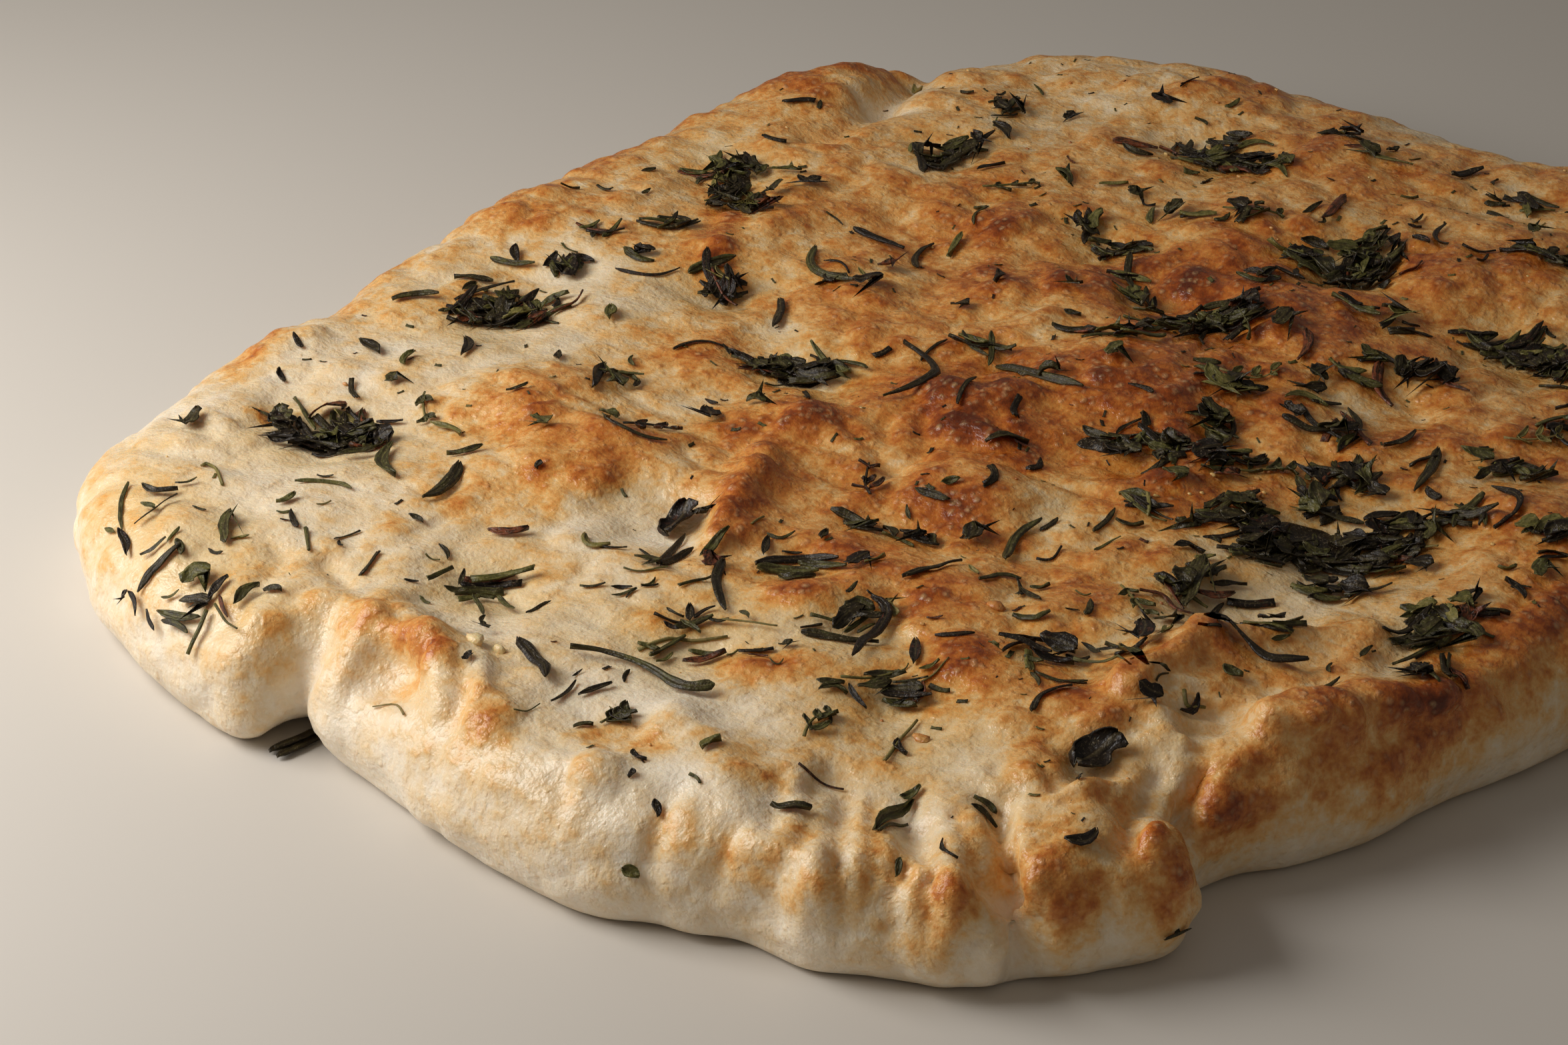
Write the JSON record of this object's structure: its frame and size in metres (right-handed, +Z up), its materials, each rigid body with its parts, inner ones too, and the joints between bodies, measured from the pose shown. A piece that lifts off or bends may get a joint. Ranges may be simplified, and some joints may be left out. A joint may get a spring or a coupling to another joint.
{
  "type": "focaccia",
  "caption": "Hand-shaped rounded rectangular flat bread, dimpled and browned on top, with a pinched notch in its front rim and baked-on herbs in clumps and single leaves.",
  "frame": {"origin": "middle of the bread's footprint, on its flat base", "axes": "+Z up out of the crust, +Y along the bread's length, towards the end away from the pinched notch, +X along its width"},
  "size_m": [0.3014, 0.3644, 0.0315],
  "materials": {
    "crust": "baked bread crust, pale cream to browned, with a thin oil sheen",
    "herb": "baked dark green and brown herb leaves, slightly oily"
  },
  "bodies": {
    "root": {"focaccia": "crust", "herb_clump_01": "herb", "herb_clump_02": "herb", "herb_clump_03": "herb", "herb_clump_04": "herb", "herb_clump_05": "herb", "herb_clump_06": "herb", "herb_clump_07": "herb", "herb_clump_08": "herb", "herb_clump_09": "herb", "herb_clump_10": "herb", "herb_clump_11": "herb", "herb_clump_12": "herb", "herb_clump_13": "herb", "herb_clump_14": "herb", "herb_clump_15": "herb", "herb_clump_16": "herb", "herb_clump_17": "herb", "herb_clump_18": "herb", "herb_clump_19": "herb", "herb_clump_20": "herb", "herb_clump_21": "herb", "herb_clump_22": "herb", "herb_clump_23": "herb", "herb_clump_24": "herb", "rosemary_long": "herb", "rosemary_curled": "herb", "sage_front": "herb", "sage_middle": "herb", "rosemary_notch": "herb"}
  },
  "joints": []
}
